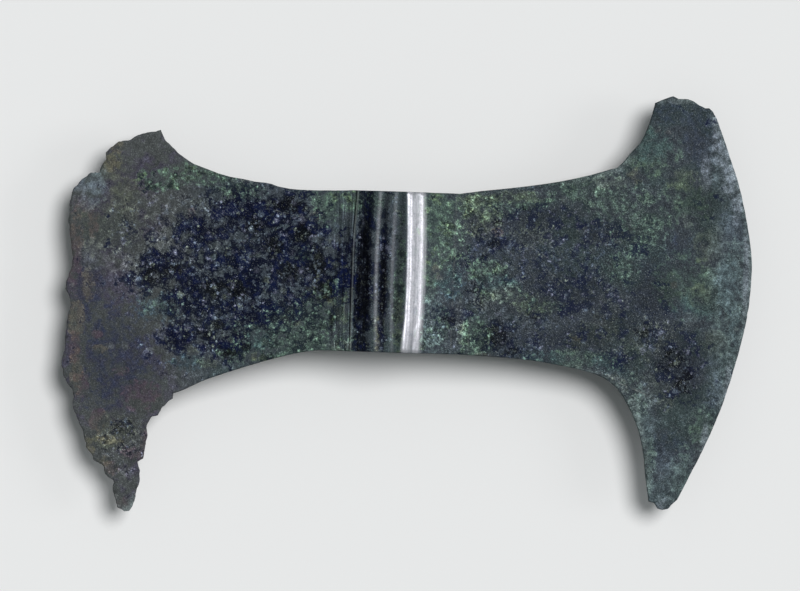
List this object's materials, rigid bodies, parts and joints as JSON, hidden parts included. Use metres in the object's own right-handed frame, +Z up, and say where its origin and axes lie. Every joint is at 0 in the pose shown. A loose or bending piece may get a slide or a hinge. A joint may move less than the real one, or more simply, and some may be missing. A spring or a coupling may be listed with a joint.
{
  "type": "bronze double axe head",
  "caption": "Ancient bronze double axe head lying flat, with flaring crescent blades, a corroded edge, a broken horn and a ribbed socket with an oval haft hole.",
  "frame": {"origin": "on the ground under the middle of the socket, on the rubbed flat of the middle rib", "axes": "+X along the axe towards the better kept blade, +Y along the haft hole, +Z up"},
  "size_m": [0.1927, 0.1212, 0.0245],
  "materials": {
    "patinated_bronze": "buried bronze: blue-black and green patina, satin, pitted and scratched, with brighter metal on one flank of the moulding"
  },
  "bodies": {
    "root": {"axe_head": "patinated_bronze"}
  },
  "joints": []
}
